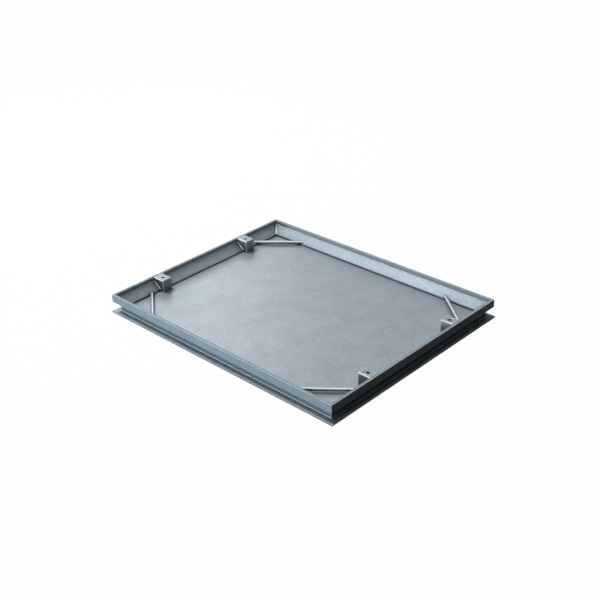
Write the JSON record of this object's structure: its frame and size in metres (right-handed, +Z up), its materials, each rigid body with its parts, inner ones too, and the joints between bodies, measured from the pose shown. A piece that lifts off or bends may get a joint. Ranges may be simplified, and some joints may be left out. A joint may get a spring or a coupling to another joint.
{
  "type": "recessed paving cover",
  "caption": "Shallow galvanised steel tray for block paving, resting on seal strips in a mitred frame, with lifting sockets in folded boxes and round bars across its corners.",
  "frame": {"origin": "middle of the frame's base, on the surface it stands on", "axes": "+X along the long side, +Y along the short side towards the back, +Z up out of the tray"},
  "size_m": [0.7, 0.55, 0.046],
  "materials": {
    "frame_steel": "hot-dip galvanised, dull with fine spangle",
    "tray_steel": "galvanised sheet with fine spangle",
    "floor_steel": "galvanised sheet, slightly mottled, faintly glossy",
    "box_steel": "galvanised sheet, folded",
    "socket_steel": "zinc-plated, turned",
    "bar_steel": "galvanised round bar",
    "seal_rubber": "matt black closed-cell"
  },
  "bodies": {
    "root": {"frame_rail_front": "frame_steel", "seal_front": "seal_rubber", "tray_band_front": "tray_steel", "tray_wall_front": "tray_steel", "frame_rail_right": "frame_steel", "seal_right": "seal_rubber", "tray_band_right": "tray_steel", "tray_wall_right": "tray_steel", "frame_rail_back": "frame_steel", "seal_back": "seal_rubber", "tray_band_back": "tray_steel", "tray_wall_back": "tray_steel", "frame_rail_left": "frame_steel", "seal_left": "seal_rubber", "tray_band_left": "tray_steel", "tray_wall_left": "tray_steel", "tray_floor": "floor_steel", "lifting_box_front_left": "box_steel", "lifting_socket_front_left": "socket_steel", "corner_bar_front_left": "bar_steel", "lifting_box_back_left": "box_steel", "lifting_socket_back_left": "socket_steel", "corner_bar_back_left": "bar_steel", "lifting_box_front_right": "box_steel", "lifting_socket_front_right": "socket_steel", "corner_bar_front_right": "bar_steel", "lifting_box_back_right": "box_steel", "lifting_socket_back_right": "socket_steel", "corner_bar_back_right": "bar_steel"}
  },
  "joints": []
}
